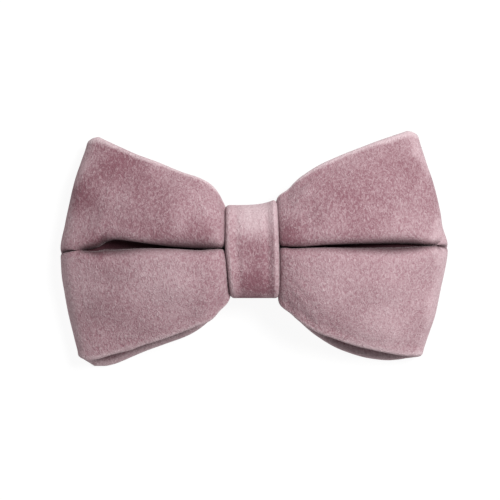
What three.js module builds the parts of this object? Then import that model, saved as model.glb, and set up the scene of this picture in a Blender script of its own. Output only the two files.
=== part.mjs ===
// A pre-tied velvet bow tie that slips onto a pet's collar, lying on its back.
// Millimetres. X runs along the bow, Y up the bow, and Z from its back to its front; it rests on z = 0.
// One wide band is looped into two wings and pleated along its middle, a wrap squeezes it at the knot,
// and an elastic keeper is sewn behind the knot for the collar to pass through.
import * as THREE from "three";

const CLEARANCE = 0.3; // left between pieces that touch on the real bow

// The band is a velvet tube pressed flat, so its wall is two layers and its long edges are rolled.
const BAND_WALL = 2.6;
const CROWN_FALL = 2.2; // power of the fall from a lobe's crest to its rolled edge
const LIP_RADIUS = 4.2; // roll of each lobe into the pleat, where the pleat is deep
const LIP_SHARE = 0.45; // part of the pleat's depth that the roll takes, where it is shallow
const LIP_MIN_WIDTH = 1.2;
const PLEAT_FADE = 0.5; // power by which the pleat fades out round the outer fold

// Each row is one section of a wing. out is its distance along the pleat from the knot's middle. top and
// bottom are the front layer's edges, pleat its fold line, gap the pleat's mouth, crest and edge the
// heights of the lobes and of the rolled edges, dip the pleat's depth, and under the back layer's height.
// under_top and under_bottom are the back layer's edges, and curl lifts them. knotReach is how far the
// wrap squeezes the band, at its bottom and top edges.
const COLUMNS = ["out", "top", "pleat", "bottom", "gap", "crest", "edge", "dip", "under", "under_top", "under_bottom",
  "curl"];
const WINGS = {
  right: {
    side: 1,
    knotReach: { bottom: 7.5, top: 7 },
    sections: [
      [0, 7.2, 0.1, -8.7, 0.4, 16.5, 14.6, 2.5, 11.0, 7.2, -8.7, 0.6],
      [7.25, 7.6, 0.5, -9.1, 0.4, 16.6, 14.7, 2.7, 11.0, 7.4, -8.9, 0.6],
      [8.1, 9.4, 0.6, -11.2, 0.4, 17.2, 15.0, 3.5, 10.6, 9.2, -11.2, 0.6],
      [9, 13.3, 0.7, -15.2, 0.5, 18.6, 15.4, 5.2, 9.8, 12.9, -15.5, 0.5],
      [10.8, 16.5, 0.7, -17.6, 0.5, 20.0, 15.8, 7.4, 8.4, 15.5, -17.8, 0.3],
      [14, 19.4, 0.8, -20.0, 0.5, 21.1, 16.0, 9.6, 6.2, 18.2, -20.5, 0.2],
      [20, 23.2, 0.8, -23.6, 0.8, 21.6, 15.4, 9.8, 3.4, 21.9, -25.0, 0],
      [28, 26.4, 0.9, -26.4, 1.1, 20.4, 13.8, 8.4, 1.3, 24.8, -28.9, 0],
      [38, 29.8, 1.0, -28.6, 1.3, 17.0, 11.2, 6.6, 1.3, 28.1, -31.0, 0],
      [50, 33.2, 1.0, -30.5, 0.5, 10.6, 7.2, 4.4, 1.3, 30.8, -30.9, 0],
    ],
    // The outer fold's outline, from the bottom corner up, and how far each corner is rounded in.
    outline: {
      up: [-29.6, -20.7, -10.5, 0.5, 13.3, 23.5, 31.2],
      reach: [47.6, 50.6, 53.3, 55.0, 52.1, 49.2, 46.3],
    },
    corner: { bottom: 0.2, top: 0.2 },
  },
  left: {
    side: -1,
    knotReach: { bottom: 6.5, top: 8.1 },
    sections: [
      [0, 7.2, 0.1, -8.7, 0.4, 16.5, 14.6, 2.5, 11.0, 7.2, -8.7, 0.6],
      [7.3, 7.6, 0.2, -9.1, 0.4, 16.6, 14.6, 2.7, 11.0, 7.4, -8.9, 0.6],
      [8.2, 9.4, 0.2, -11.0, 0.4, 17.0, 14.9, 3.4, 10.6, 9.2, -11.0, 0.6],
      [9.1, 12.0, 0.2, -13.5, 0.4, 18.8, 15.5, 5.4, 9.8, 11.5, -13.7, 0.5],
      [10.6, 15.1, 0.2, -16.0, 0.5, 21.0, 16.2, 8.2, 8.5, 14.3, -16.2, 0.3],
      [14, 18.7, 0, -18.9, 0.5, 22.1, 16.4, 10.0, 6.2, 17.7, -19.3, 0.2],
      [20, 21.0, -0.2, -22.6, 0.6, 21.9, 15.6, 9.8, 3.4, 19.8, -24.0, 0],
      [28, 23.7, 0.7, -25.3, 1.5, 20.2, 13.8, 8.4, 1.3, 22.3, -27.0, 0],
      [38, 27.0, 1.4, -28.8, 2.8, 16.8, 11.2, 7.0, 1.3, 25.3, -30.3, 0],
      [44, 28.8, 1.0, -30.1, 2.4, 14.2, 9.4, 5.8, 1.3, 27.0, -32.2, 0],
      [50, 31.3, -0.9, -31.7, 0.4, 10.8, 7.4, 4.4, 1.3, 29.3, -33.2, 0],
    ],
    outline: {
      up: [-29.4, -18.2, -6.0, 0, 7.0, 15.5, 25.2, 30.4],
      reach: [50.5, 53.1, 55.1, 55.3, 54.0, 52.2, 49.6, 47.4],
    },
    corner: { bottom: 1.7, top: 0.3 },
  },
};
const FRONT_STEPS = 2; // sections made from one row of a table to the next
const BACK_STEPS = 1;
const FOLD_STEPS = 8;
const CROWN_STEPS = 4;
const LIP_STEPS = 2;
const WALL_STEPS = 1;
const FLOOR_STEPS = 2;
const LIP_FLAT_SHARE = 0.12; // part of the back layer's width that meets the pleat's half round the fold
const ROUND_STEPS = 3; // facets round a rolled edge

// The knot wrap is a ring of the same velvet round the middle, bowed in front and flatter behind.
const WRAP_WALL = 2.4;
const WRAP_MIDDLE_UP = -0.75;
const WRAP_HALF_HEIGHT = 13.15;
const WRAP_BACK = 7;
const WRAP_DEPTH = 14.6;
const WRAP_FRONT_POWER = 2.5;
const WRAP_BACK_POWER = 4;
const WRAP_SIDES = { left: { bottom: -6.4, top: -8.1 }, right: { bottom: 7.3, top: 6.6 } };
const WRAP_ROLL = 0.35; // how far the rolled sides stand proud in front
const WRAP_ROLL_WIDTH = 1.6;
const WRAP_STEPS_ROUND = 44;
const WRAP_STEPS_ACROSS = 6;

// The keeper is a flat elastic strip, sewn at its ends to the back of the wrap and bowed clear of it between.
const KEEPER_WIDTH = 12;
const KEEPER_THICKNESS = 1.4;
const KEEPER_CORNER = 0.45;
const KEEPER_HALF_HEIGHT = 12.2;
const KEEPER_TAB_FROM = 9;
const KEEPER_SEAT_TO = 5.5;
const KEEPER_FLOOR_GAP = 0.4;
const KEEPER_STEPS = 26;

const VELVET = { color: 0xa9808c, roughness: 0.95, metalness: 0 };
const ELASTIC = { color: 0x9a7480, roughness: 0.85, metalness: 0 };

const mix = (a, b, t) => a + (b - a) * t;

// A smooth curve through the points (xs, ys) that never overshoots them.
function through(xs, ys, x) {
  const last = xs.length - 1;
  const rise = (i) => (ys[i + 1] - ys[i]) / (xs[i + 1] - xs[i]);
  const slope = (i) => {
    if (i === 0) return rise(0);
    if (i === last) return rise(last - 1);
    const product = rise(i - 1) * rise(i);
    return product > 0 ? (2 * product) / (rise(i - 1) + rise(i)) : 0;
  };
  const at = Math.min(Math.max(x, xs[0]), xs[last]);
  let i = 0;
  while (i < last - 1 && at > xs[i + 1]) i += 1;
  const span = xs[i + 1] - xs[i];
  const t = (at - xs[i]) / span;
  const keep = (1 + 2 * t) * (1 - t) ** 2;
  const next = t * t * (3 - 2 * t);
  const bend = t * (1 - t) ** 2 * slope(i) - t * t * (1 - t) * slope(i + 1);
  return keep * ys[i] + next * ys[i + 1] + bend * span;
}

// One wing's measures at a distance out from the knot.
function sectionAt(wing, out) {
  const outs = wing.sections.map((row) => row[0]);
  const section = {};
  COLUMNS.forEach((name, k) => {
    section[name] = through(outs, wing.sections.map((row) => row[k]), out);
  });
  return section;
}

// The middle line of one lobe from its rolled edge to the bottom of the pleat, as [up, height] points.
function lobeLine(section, lobe, fade) {
  const dip = section.dip * fade;
  const half = section.gap / 2 + BAND_WALL / 2;
  const lip = Math.min(LIP_RADIUS, LIP_SHARE * dip);
  const lipWidth = Math.max(lip, LIP_MIN_WIDTH);
  const edge = (lobe > 0 ? section.top : section.bottom) - (lobe * BAND_WALL) / 2;
  const crestUp = section.pleat + lobe * (half + lipWidth);
  const slot = dip - lip;
  const floor = Math.min(half, slot);
  const points = [];
  for (let k = 0; k < CROWN_STEPS; k += 1) {
    const u = 1 - k / CROWN_STEPS;
    points.push([mix(crestUp, edge, u), section.crest - (section.crest - section.edge) * u ** CROWN_FALL]);
  }
  for (let k = 0; k < LIP_STEPS; k += 1) {
    const turn = ((k / LIP_STEPS) * Math.PI) / 2;
    points.push([crestUp - lobe * lipWidth * Math.sin(turn), section.crest - lip * (1 - Math.cos(turn))]);
  }
  for (let k = 0; k < WALL_STEPS; k += 1) {
    points.push([section.pleat + lobe * half, section.crest - lip - ((slot - floor) * k) / WALL_STEPS]);
  }
  for (let k = 0; k < FLOOR_STEPS; k += 1) {
    const turn = ((k / FLOOR_STEPS) * Math.PI) / 2;
    points.push([section.pleat + lobe * half * Math.cos(turn), section.crest - dip + floor * (1 - Math.sin(turn))]);
  }
  return points;
}

// The front layer's middle line from its bottom edge to its top edge.
function frontLine(section, fade = 1) {
  const lower = lobeLine(section, -1, fade);
  const upper = lobeLine(section, 1, fade).reverse();
  return [...lower, [section.pleat, section.crest - section.dip * fade], ...upper];
}

// The back layer's middle line, with its points spread to meet the front layer's.
function backLine(section) {
  const bottom = section.under_bottom + BAND_WALL / 2;
  const top = section.under_top - BAND_WALL / 2;
  const pleatSteps = LIP_STEPS + WALL_STEPS + FLOOR_STEPS;
  const shares = [];
  for (let k = 0; k < CROWN_STEPS; k += 1) shares.push(((0.5 - LIP_FLAT_SHARE) * k) / CROWN_STEPS);
  for (let k = 0; k < pleatSteps; k += 1) shares.push(0.5 - LIP_FLAT_SHARE * (1 - k / pleatSteps));
  const all = [...shares, 0.5, ...shares.map((share) => 1 - share).reverse()];
  return all.map((share) => {
    const lift = section.curl * Math.abs(2 * share - 1) ** CROWN_FALL;
    return [mix(bottom, top, share), section.under + lift];
  });
}

// The whole wing's middle surface as a list of lines, from the knot's front round the fold to its back.
function wingLines(wing) {
  const outs = wing.sections.map((row) => row[0]);
  const lastOut = outs[outs.length - 1];
  const knotOut = (wing.knotReach.bottom + wing.knotReach.top) / 2;
  const end = sectionAt(wing, lastOut);
  const frontEnd = frontLine(end, 0);
  const frontBefore = frontLine(sectionAt(wing, lastOut - 1), 0);
  const backEnd = backLine(end);
  const middle = frontEnd.length >> 1;
  const between = (count) => outs.slice(0, -1).flatMap((out, i) => (
    Array.from({ length: count }, (_, k) => mix(out, outs[i + 1], k / count))
  ));

  // How each line of cloth goes round the outer fold. It leaves the front layer at that layer's own tilt,
  // and the pleat's depth turns from downward to inward on the way.
  const folds = frontEnd.map(([up, height], i) => {
    const lobe = i < middle ? -1 : 1;
    const round = lobe < 0 ? wing.corner.bottom : wing.corner.top;
    const share = Math.abs(i - middle) / middle;
    const pull = -lobe * round * share ** 6;
    const tilt = Math.atan(frontBefore[i][1] - height);
    const radius = (height - backEnd[i][1]) / (1 + Math.cos(tilt));
    const outer = (up + backEnd[i][0]) / 2 + pull;
    const reach = through(wing.outline.up, wing.outline.reach, outer) - BAND_WALL / 2 - radius;
    return { pull, tilt, radius, reach };
  });
  const place = (line, out, farReach) => {
    const share = Math.max(out - knotOut, 0) / (lastOut - knotOut);
    return line.map(([up, height], i) => {
      const knotReach = mix(wing.knotReach.bottom, wing.knotReach.top, i / (2 * middle));
      const reach = mix(knotReach * Math.min(out / knotOut, 1), farReach(folds[i]), share);
      return new THREE.Vector3(wing.side * reach, up, height);
    });
  };
  const frontReach = ({ reach, radius, tilt }) => reach + radius * Math.sin(tilt);
  const backReach = ({ reach }) => reach;
  const front = between(FRONT_STEPS).map((out) => place(frontLine(sectionAt(wing, out)), out, frontReach));
  const back = between(BACK_STEPS).map((out) => place(backLine(sectionAt(wing, out)), out, backReach)).reverse();
  const fold = [];
  for (let k = 0; k <= FOLD_STEPS; k += 1) {
    const part = k / FOLD_STEPS;
    const { tilt: startTilt } = folds[middle];
    const depth = Math.max(Math.cos(mix(startTilt, Math.PI, part)), 0) / Math.cos(startTilt);
    const pleated = frontLine(end, depth ** PLEAT_FADE);
    fold.push(pleated.map(([up, height], i) => {
      const { pull, tilt, radius, reach } = folds[i];
      const turn = mix(tilt, Math.PI, part);
      const share = (Math.cos(tilt) - Math.cos(turn)) / (Math.cos(tilt) + 1);
      const dent = frontEnd[i][1] - height;
      const inward = (Math.min((turn - tilt) / (Math.PI / 2 - tilt), 1) * Math.PI) / 2;
      return new THREE.Vector3(
        wing.side * (reach + radius * Math.sin(turn) - dent * Math.sin(inward)),
        mix(up, backEnd[i][0], share) + pull * Math.sin(part * Math.PI),
        backEnd[i][1] + radius * (1 + Math.cos(turn)) - dent * Math.cos(inward),
      );
    }));
  }
  return [...front, ...fold, ...back];
}

// The way that the cloth faces at each point of a closed run of lines.
function facings(lines) {
  return lines.map((line, i) => {
    const before = lines[(i + lines.length - 1) % lines.length];
    const after = lines[(i + 1) % lines.length];
    return line.map((point, k) => {
      const along = new THREE.Vector3().subVectors(after[k], before[k]);
      const next = line[Math.min(k + 1, line.length - 1)];
      const previous = line[Math.max(k - 1, 0)];
      const across = new THREE.Vector3().subVectors(next, previous);
      return along.cross(across).normalize();
    });
  });
}

// The closed outline of a wall round a middle line, with half-round edges.
function wallLoop(line, normals, wall) {
  const half = wall / 2;
  const shift = (point, normal, amount) => point.clone().addScaledVector(normal, amount);
  const last = line.length - 1;
  const cap = (end, inner, normal, sign) => {
    const along = new THREE.Vector3().subVectors(line[end], line[inner]);
    const outward = along.addScaledVector(normal, -along.dot(normal)).normalize();
    const points = [];
    for (let k = 1; k < ROUND_STEPS; k += 1) {
      const turn = (k / ROUND_STEPS) * Math.PI;
      const point = shift(line[end], normal, sign * half * Math.cos(turn));
      points.push(point.addScaledVector(outward, half * Math.sin(turn)));
    }
    return points;
  };
  return [
    ...line.map((point, k) => shift(point, normals[k], half)),
    ...cap(last, last - 1, normals[last], 1),
    ...line.map((point, k) => shift(point, normals[k], -half)).reverse(),
    ...cap(0, 1, normals[0], -1),
  ];
}

// A closed skin over loops of points. An open run of loops is shut by a fan at each end.
function skin(loops, closed) {
  const size = loops[0].length;
  const positions = loops.flat().flatMap((point) => [point.x, point.y, point.z]);
  const faces = [];
  for (let i = 0; i < loops.length - (closed ? 0 : 1); i += 1) {
    const j = (i + 1) % loops.length;
    for (let k = 0; k < size; k += 1) {
      const n = (k + 1) % size;
      faces.push(i * size + k, j * size + k, j * size + n);
      faces.push(i * size + k, j * size + n, i * size + n);
    }
  }
  if (!closed) {
    const end = (loops.length - 1) * size;
    for (let k = 1; k + 1 < size; k += 1) {
      faces.push(0, k, k + 1);
      faces.push(end, end + k + 1, end + k);
    }
  }
  const geometry = new THREE.BufferGeometry();
  geometry.setAttribute("position", new THREE.Float32BufferAttribute(positions, 3));
  geometry.setIndex(faces);
  geometry.computeVertexNormals();
  return geometry;
}

function bandGeometry() {
  const right = wingLines(WINGS.right);
  const left = wingLines(WINGS.left).reverse();
  const lines = [...right, ...left.slice(1, -1)];
  const normals = facings(lines);
  return skin(lines.map((line, i) => wallLoop(line, normals[i], BAND_WALL)), true);
}

// A point of the knot wrap's round, a distance in from its outer face, in the plane x = 0.
function wrapRound(turn, inset) {
  const power = Math.sin(turn) > 0 ? WRAP_FRONT_POWER : WRAP_BACK_POWER;
  const bend = (value) => Math.sign(value) * Math.abs(value) ** (2 / power);
  const up = WRAP_MIDDLE_UP + (WRAP_HALF_HEIGHT - inset) * bend(Math.cos(turn));
  const height = WRAP_BACK + WRAP_DEPTH / 2 + (WRAP_DEPTH / 2 - inset) * bend(Math.sin(turn));
  return new THREE.Vector3(0, up, height);
}

function wrapGeometry() {
  const half = WRAP_WALL / 2;
  const bottom = WRAP_MIDDLE_UP - WRAP_HALF_HEIGHT;
  const loops = [];
  for (let i = 0; i < WRAP_STEPS_ROUND; i += 1) {
    const turn = ((i + 0.5) / WRAP_STEPS_ROUND) * 2 * Math.PI;
    const middle = wrapRound(turn, half);
    const outward = new THREE.Vector3().subVectors(wrapRound(turn, 0), wrapRound(turn, WRAP_WALL)).normalize();
    const share = (middle.y - bottom) / (2 * WRAP_HALF_HEIGHT);
    const left = mix(WRAP_SIDES.left.bottom, WRAP_SIDES.left.top, share) + half;
    const right = mix(WRAP_SIDES.right.bottom, WRAP_SIDES.right.top, share) - half;
    const at = (x, out) => new THREE.Vector3(x, middle.y, middle.z).addScaledVector(outward, out);
    const roll = WRAP_ROLL * Math.max(Math.sin(turn), 0);
    const loop = [];
    for (let k = 0; k <= WRAP_STEPS_ACROSS; k += 1) {
      const x = mix(left, right, k / WRAP_STEPS_ACROSS);
      const near = Math.min(x - left, right - x) / WRAP_ROLL_WIDTH;
      loop.push(at(x, half + roll * Math.exp(-near * near)));
    }
    for (let k = 1; k < ROUND_STEPS; k += 1) {
      const round = (k / ROUND_STEPS) * Math.PI;
      loop.push(at(right + half * Math.sin(round), half * Math.cos(round)));
    }
    loop.push(at(right, -half));
    loop.push(at(left, -half));
    for (let k = 1; k < ROUND_STEPS; k += 1) {
      const round = (k / ROUND_STEPS) * Math.PI;
      loop.push(at(left - half * Math.sin(round), -half * Math.cos(round)));
    }
    loops.push(loop);
  }
  return skin(loops, true);
}

// The height of the wrap's outer back face at a distance up from its middle.
function wrapBackHeight(up) {
  const share = Math.abs(up) / WRAP_HALF_HEIGHT;
  return WRAP_BACK + (WRAP_DEPTH / 2) * (1 - (1 - share ** WRAP_BACK_POWER) ** (1 / WRAP_BACK_POWER));
}

function keeperGeometry() {
  const half = KEEPER_THICKNESS / 2;
  const seat = KEEPER_FLOOR_GAP + half;
  const line = [];
  for (let i = 0; i <= KEEPER_STEPS; i += 1) {
    const up = mix(-KEEPER_HALF_HEIGHT, KEEPER_HALF_HEIGHT, i / KEEPER_STEPS);
    const t = THREE.MathUtils.smoothstep(Math.abs(up), KEEPER_SEAT_TO, KEEPER_TAB_FROM);
    const tab = wrapBackHeight(up) - CLEARANCE - half;
    line.push(new THREE.Vector3(0, WRAP_MIDDLE_UP + up, mix(seat, tab, t)));
  }
  const corners = [[1, 1], [-1, 1], [-1, -1], [1, -1]];
  const loops = line.map((point, i) => {
    const along = new THREE.Vector3().subVectors(line[Math.min(i + 1, KEEPER_STEPS)], line[Math.max(i - 1, 0)]);
    const outward = new THREE.Vector3(0, -along.z, along.y).normalize();
    return corners.flatMap(([x, out]) => {
      const cut = [[1, 0], [0, 1]];
      if (x * out > 0) cut.reverse();
      return cut.map(([cutWide, cutOut]) => {
        const wide = x * (KEEPER_WIDTH / 2 - cutWide * KEEPER_CORNER);
        const away = out * (half - cutOut * KEEPER_CORNER);
        return new THREE.Vector3(wide, point.y, point.z).addScaledVector(outward, away);
      });
    });
  });
  return skin(loops, false);
}

function piece(name, geometry, look) {
  const mesh = new THREE.Mesh(geometry, new THREE.MeshStandardMaterial(look));
  mesh.name = name;
  return mesh;
}

const group = new THREE.Group();
group.add(piece("bow_band", bandGeometry(), VELVET));
group.add(piece("knot_wrap", wrapGeometry(), VELVET));
group.add(piece("keeper_strip", keeperGeometry(), ELASTIC));

export default group;
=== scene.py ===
# %% [markdown]
# A pre-tied velvet bow tie for a pet's collar, lying on its back on a pale table.
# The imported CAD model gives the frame: where each piece is and how large it may be. This script
# dresses that frame, one piece at a time, with fine meshes and cloth materials.

import math

import bpy
import numpy as np
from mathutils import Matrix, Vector


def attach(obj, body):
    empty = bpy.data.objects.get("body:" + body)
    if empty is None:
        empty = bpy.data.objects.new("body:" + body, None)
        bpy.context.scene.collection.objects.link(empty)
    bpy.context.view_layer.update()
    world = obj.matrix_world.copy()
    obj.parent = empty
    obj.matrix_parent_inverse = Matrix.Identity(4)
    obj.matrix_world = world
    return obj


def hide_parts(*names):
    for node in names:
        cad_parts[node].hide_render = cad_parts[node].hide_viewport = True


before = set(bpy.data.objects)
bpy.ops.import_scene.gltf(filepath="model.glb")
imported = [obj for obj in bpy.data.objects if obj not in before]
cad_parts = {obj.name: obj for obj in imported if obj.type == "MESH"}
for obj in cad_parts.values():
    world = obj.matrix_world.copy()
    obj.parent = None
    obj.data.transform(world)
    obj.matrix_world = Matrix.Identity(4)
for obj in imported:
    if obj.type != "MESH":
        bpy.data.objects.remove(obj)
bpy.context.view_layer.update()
scene = bpy.context.scene
print("CAD nodes:", ", ".join(sorted(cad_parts)))

# %% [markdown]
# Cloth is drawn here as curves through a few measured sections, so one small helper does most of the
# work: a curve that passes through named points and never overshoots them. A plain polynomial would
# bulge between the points, and straight lines would show as facets in the velvet's sheen.

# %% Curves through points
MM = 0.001


def mix(a, b, t):
    return a + (b - a) * t


def smooth(low, high, value):
    """0 below low, 1 above high, and an easy slope between."""
    t = np.clip((value - low) / (high - low), 0, 1)
    return t * t * (3 - 2 * t)


def through(xs, ys, at):
    """A smooth curve through the points (xs, ys), read at one or many places."""
    xs = np.asarray(xs, float)
    ys = np.asarray(ys, float)
    rise = np.diff(ys) / np.diff(xs)
    before, after = rise[:-1], rise[1:]
    agree = before * after > 0
    middle = np.where(agree, 2 * before * after / np.where(agree, before + after, 1), 0)
    slope = np.concatenate([rise[:1], middle, rise[-1:]])
    at = np.clip(at, xs[0], xs[-1])
    i = np.clip(np.searchsorted(xs, at, side="right") - 1, 0, len(xs) - 2)
    span = xs[i + 1] - xs[i]
    t = (at - xs[i]) / span
    start = (1 + 2 * t) * (1 - t) ** 2 * ys[i]
    end = t * t * (3 - 2 * t) * ys[i + 1]
    bend = t * (1 - t) ** 2 * slope[i] - t * t * (1 - t) * slope[i + 1]
    return start + end + bend * span


sample = float(through([0, 1, 3], [0, 2, 3], 2))
print("a curve through (0, 0), (1, 2) and (3, 3) passes", round(sample, 2), "at 2")

# %% [markdown]
# On the real bow, one wide velvet tube is pressed flat and looped back on itself, so each wing has a
# front layer, a rounded fold at its outer end and a back layer. The front is pleated along its middle,
# which makes two puffed lobes. Each row below is one section of a wing, in millimetres: how far out it
# is, the front's top edge, pleat and bottom edge, the pleat's mouth, how deep each lobe's lip rolls down
# into it, the heights of the crests and of the edges, the pleat's depth, and the back layer's height,
# edges and curl. In the outer rows the back layer's middle is a hair higher than half its wall, so its
# face lies just clear of the table. outline is how far the outer fold reaches at each height up the bow,
# corner is how far its two corners are pulled in, and lip_spread is how much wider than deep the upper
# lip is.

# %% Sections of the wings
BAND_WALL = 2.6
KNOT_WALL = 1.5
SQUEEZED_TO = 8.0
FREE_FROM = 14.0
COLUMNS = ["out", "top", "pleat", "bottom", "gap", "upper_lip", "lower_lip", "crest", "edge", "dip", "under",
           "under_top", "under_bottom", "curl"]
WINGS = {
    "right": {
        "side": 1,
        "sections": [
            [0, 7.2, 0.1, -8.7, 0.4, 1.2, 0.9, 16.5, 14.6, 2.5, 11.0, 7.2, -8.7, 0.6],
            [7.3, 8.2, 0.4, -9.6, 0.4, 1.2, 0.9, 16.7, 14.7, 2.7, 11.0, 7.5, -9.0, 0.6],
            [7.9, 14.2, 0.5, -15.2, 0.4, 1.2, 0.9, 19.7, 15.6, 4.6, 10.6, 10.8, -12.2, 0.6],
            [8.8, 15.4, 0.5, -16.6, 0.4, 1.3, 1.0, 20.7, 15.9, 6.2, 9.8, 13.4, -15.2, 0.5],
            [10.8, 16.7, 0.35, -18.0, 0.4, 1.4, 1.3, 21.2, 15.9, 7.6, 8.4, 15.1, -17.5, 0.3],
            [14, 19.1, 0.45, -20.3, 0.4, 1.6, 1.6, 21.3, 16.0, 9.0, 6.2, 17.8, -20.4, 0.2],
            [20, 22.9, 0.75, -23.6, 0.7, 1.9, 2.2, 21.6, 15.4, 9.4, 3.4, 21.4, -24.9, 0],
            [28, 26.3, 0.85, -26.4, 1.1, 2.1, 2.7, 20.4, 13.8, 8.4, 1.33, 24.6, -28.8, 0],
            [38, 29.6, 0.95, -28.6, 1.2, 2.3, 3.0, 17.0, 11.2, 6.6, 1.33, 28.1, -31.3, 0],
            [44, 31.5, 1.0, -29.7, 0.8, 2.1, 2.4, 13.8, 9.1, 5.2, 1.33, 29.6, -31.8, 0],
            [47, 32.5, 1.0, -30.2, 0.4, 1.5, 1.6, 12.3, 8.2, 4.0, 1.33, 30.2, -31.6, 0],
            [50, 33.5, 1.0, -30.5, 0.1, 0.9, 0.9, 10.6, 7.2, 2.4, 1.33, 30.8, -31.2, 0],
        ],
        "outline": {
            "up": [-29.6, -20.7, -16.0, -10.5, 0.5, 6.5, 13.3, 18.5, 23.5, 31.2],
            "reach": [47.9, 50.7, 51.9, 53.2, 55.0, 53.4, 52.3, 51.0, 49.2, 46.7],
        },
        "corner": (0.2, -0.1),
        "lip_spread": 1.2,
    },
    "left": {
        "side": -1,
        "sections": [
            [0, 7.2, 0.1, -8.7, 0.4, 1.2, 0.9, 16.5, 14.6, 2.5, 11.0, 7.2, -8.7, 0.6],
            [7.3, 7.8, 0.1, -9.3, 0.4, 1.4, 1.0, 16.7, 14.6, 2.7, 11.0, 7.5, -9.0, 0.6],
            [8.0, 12.2, 0.1, -13.6, 0.4, 1.5, 1.1, 20.0, 15.6, 4.6, 10.6, 10.2, -12.0, 0.6],
            [8.8, 13.5, 0.1, -15.4, 0.4, 1.7, 1.2, 21.3, 15.8, 6.2, 9.8, 12.3, -14.4, 0.5],
            [10.6, 16.1, -0.05, -17.2, 0.4, 2.8, 1.8, 21.9, 16.3, 8.4, 8.5, 14.6, -16.5, 0.3],
            [14, 19.1, -0.1, -20.2, 0.5, 3.1, 2.1, 22.2, 16.4, 10.0, 6.2, 17.7, -20.4, 0.2],
            [20, 20.9, 0.2, -22.6, 0.5, 2.9, 2.1, 21.9, 15.6, 9.8, 3.4, 19.8, -24.4, 0],
            [28, 23.7, 0.8, -25.3, 1.2, 1.6, 2.4, 20.2, 13.8, 8.4, 1.33, 22.3, -27.2, 0],
            [33.5, 25.5, 1.1, -27.1, 2.1, 1.2, 2.8, 18.6, 12.5, 7.8, 1.33, 23.8, -29.0, 0],
            [38, 27.0, 1.2, -28.8, 2.9, 1.2, 3.0, 16.8, 11.2, 7.0, 1.33, 25.3, -30.7, 0],
            [41, 28.1, 0.8, -29.4, 2.2, 2.2, 2.8, 15.5, 10.3, 6.2, 1.33, 26.2, -31.9, 0],
            [44, 29.2, -0.2, -30.1, 0.9, 3.0, 2.2, 14.1, 9.4, 4.6, 1.33, 27.1, -32.9, 0],
            [47, 30.5, -0.4, -31.0, 0.3, 1.6, 1.5, 12.5, 8.5, 2.4, 1.33, 28.3, -33.4, 0],
            [50, 31.8, -0.5, -31.7, 0.1, 0.5, 0.5, 10.8, 7.4, 0.6, 1.33, 29.6, -33.4, 0],
        ],
        "outline": {
            "up": [-29.4, -18.2, -12.0, -6.0, 0, 7.0, 15.5, 20.0, 25.2, 30.4],
            "reach": [50.0, 53.0, 54.1, 54.9, 55.1, 53.8, 51.9, 50.6, 49.0, 47.3],
        },
        "corner": (1.5, 0.15),
        "lip_spread": 1.35,
    },
}


def wall_at(out):
    """How thick the cloth is: the knot squeezes it."""
    return mix(KNOT_WALL, BAND_WALL, smooth(SQUEEZED_TO, FREE_FROM, out))


def section_at(wing, out):
    table = np.array(wing["sections"], float)
    section = {name: float(through(table[:, 0], table[:, k], out)) for k, name in enumerate(COLUMNS)}
    section["wall"] = float(wall_at(out))
    section["lip_spread"] = wing["lip_spread"]
    return section


half_way = section_at(WINGS["left"], 30)
print("left wing 30 mm out:", {name: round(value, 1) for name, value in half_way.items()})

# %% [markdown]
# A section is drawn from its rolled bottom edge over the lower lobe, down into the pleat and back up
# over the upper lobe. The crown falls away to the edge by a power curve, the lip is a quarter ellipse,
# the pleat's wall is straight and its floor is round. Where the pleat runs out it is only a shallow
# dent, so it goes over into a smooth bell there. The pleat is drawn as a real fold, which gives it a
# true shadow from every side, and the material darkens it further with painted shade.

# %% Front and back lines
CROWN_POINTS = 26
PLEAT_POINTS = 22
CROWN_SAMPLES = 60
LIP_SAMPLES = 20
CROWN_FALL = 2.2
LIP_SHARE = 0.45
LIP_MIN_WIDTH = 0.9
SHALLOW = (0.8, 3.0)
BACK_PLEAT_SHARE = 0.12


def evenly(line, count):
    """The same line as count points, equally far apart, without its last one."""
    line = np.asarray(line, float)
    run = np.concatenate([[0], np.cumsum(np.linalg.norm(np.diff(line, axis=0), axis=1))])
    places = np.arange(count) / count * run[-1]
    return np.stack([np.interp(places, run, line[:, k]) for k in range(line.shape[1])], axis=1)


def lobe_line(section, lobe, fade):
    """One lobe's middle line from its rolled edge to just before the bottom of the pleat."""
    dip = section["dip"] * fade
    half = section["gap"] / 2 + section["wall"] / 2
    lip = min(section["upper_lip" if lobe > 0 else "lower_lip"], LIP_SHARE * dip)
    lip_width = max(lip * (section["lip_spread"] if lobe > 0 else 1), LIP_MIN_WIDTH)
    edge = (section["top"] if lobe > 0 else section["bottom"]) - lobe * section["wall"] / 2
    crest_up = section["pleat"] + lobe * (half + lip_width)
    floor = min(half, dip - lip)
    fall = np.linspace(1, 0, CROWN_SAMPLES)
    turn = np.linspace(0, math.pi / 2, LIP_SAMPLES)
    crown = np.stack([
        mix(crest_up, edge, fall),
        section["crest"] - (section["crest"] - section["edge"]) * fall ** CROWN_FALL,
    ], axis=1)
    pleat = np.stack([
        np.concatenate([
            crest_up - lobe * lip_width * np.sin(turn),
            section["pleat"] + lobe * half * np.cos(turn),
        ]),
        np.concatenate([
            section["crest"] - lip * (1 - np.cos(turn)),
            section["crest"] - dip + floor * (1 - np.sin(turn)),
        ]),
    ], axis=1)
    steps = np.arange(PLEAT_POINTS) / PLEAT_POINTS
    bell = np.stack([
        crest_up - lobe * (half + lip_width) * steps,
        section["crest"] - dip * (1 - np.cos(math.pi * steps)) / 2,
    ], axis=1)
    deep = evenly(pleat, PLEAT_POINTS)
    return np.concatenate([evenly(crown, CROWN_POINTS), mix(bell, deep, smooth(*SHALLOW, dip))])


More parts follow.
